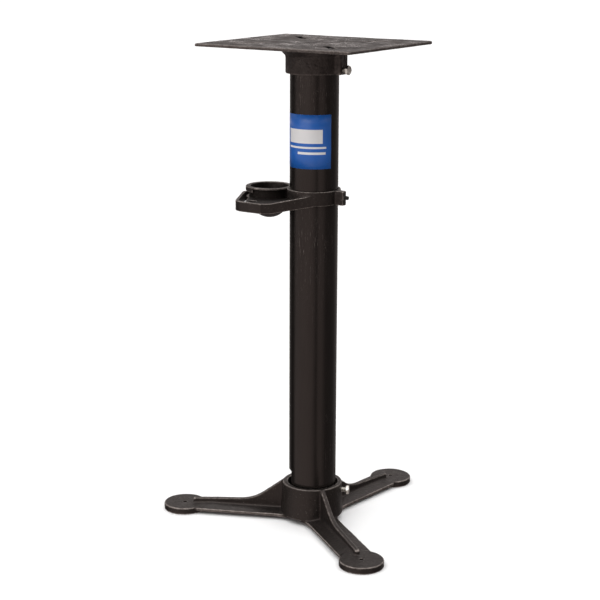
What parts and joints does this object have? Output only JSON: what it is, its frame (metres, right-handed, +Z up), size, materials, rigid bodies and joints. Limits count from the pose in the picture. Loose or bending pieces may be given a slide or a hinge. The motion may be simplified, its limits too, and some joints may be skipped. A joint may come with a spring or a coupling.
{
  "type": "bench grinder pedestal stand",
  "caption": "Floor pedestal for a bench grinder: tripod base, tube column, slotted mounting plate and a sliding bracket with a lift-out water pot.",
  "frame": {"origin": "on the column's axis, in the plane of the floor, at the centre of the circle of floor bolt holes", "axes": "+Z up along the column; +X along the top plate's long side, away from the water pot; +Y along the plate's short side"},
  "size_m": [0.4396, 0.4127, 0.7747],
  "materials": {
    "black_casting": "sand-cast iron under satin black enamel, worn to metal on edges",
    "black_tube": "welded steel tube, satin black enamel with fine scratches",
    "label_vinyl": "printed blue vinyl with plain white bars",
    "zinc": "bright zinc plating",
    "blackened_steel": "black oxide"
  },
  "bodies": {
    "base": {"tripod_base": "black_casting"},
    "column": {"column_tube": "black_tube", "column_label": "label_vinyl"},
    "head": {"top_plate": "black_casting"},
    "bracket": {"pot_bracket": "black_casting"},
    "pot": {"water_pot": "black_casting"},
    "base_screw_body": {"base_screw": "zinc"},
    "top_screw_body": {"top_screw": "zinc"},
    "bracket_screw_body": {"bracket_set_screw": "blackened_steel"}
  },
  "joints": [
    {"name": "column_swivel", "type": "hinge", "parent": "base", "child": "column", "pos_m": [0, 0, 0.05], "axis": [0, 0, 1], "continuous": true},
    {"name": "plate_swivel", "type": "hinge", "parent": "column", "child": "head", "pos_m": [0, 0, 0.75], "axis": [0, 0, 1], "continuous": true},
    {"name": "bracket_slide", "type": "slide", "parent": "column", "child": "bracket", "axis": [0, 0, 1], "range_m": [-0.4, 0.03]},
    {"name": "pot_lift", "type": "slide", "parent": "bracket", "child": "pot", "axis": [0, 0, 1], "range_m": [0, 0.09]},
    {"name": "base_screw_turn", "type": "hinge", "parent": "base", "child": "base_screw_body", "pos_m": [0.04603, 0.01954, 0.05], "axis": [0.9205, 0.3907, 0], "range_deg": [-100, 720]},
    {"name": "top_screw_turn", "type": "hinge", "parent": "head", "child": "top_screw_body", "pos_m": [0.05, 0, 0.735], "axis": [1, 0, 0], "range_deg": [-100, 720]},
    {"name": "bracket_screw_turn", "type": "hinge", "parent": "bracket", "child": "bracket_screw_body", "pos_m": [0.05, 0, 0.5383], "axis": [1, 0, 0], "range_deg": [-125, 720]}
  ]
}
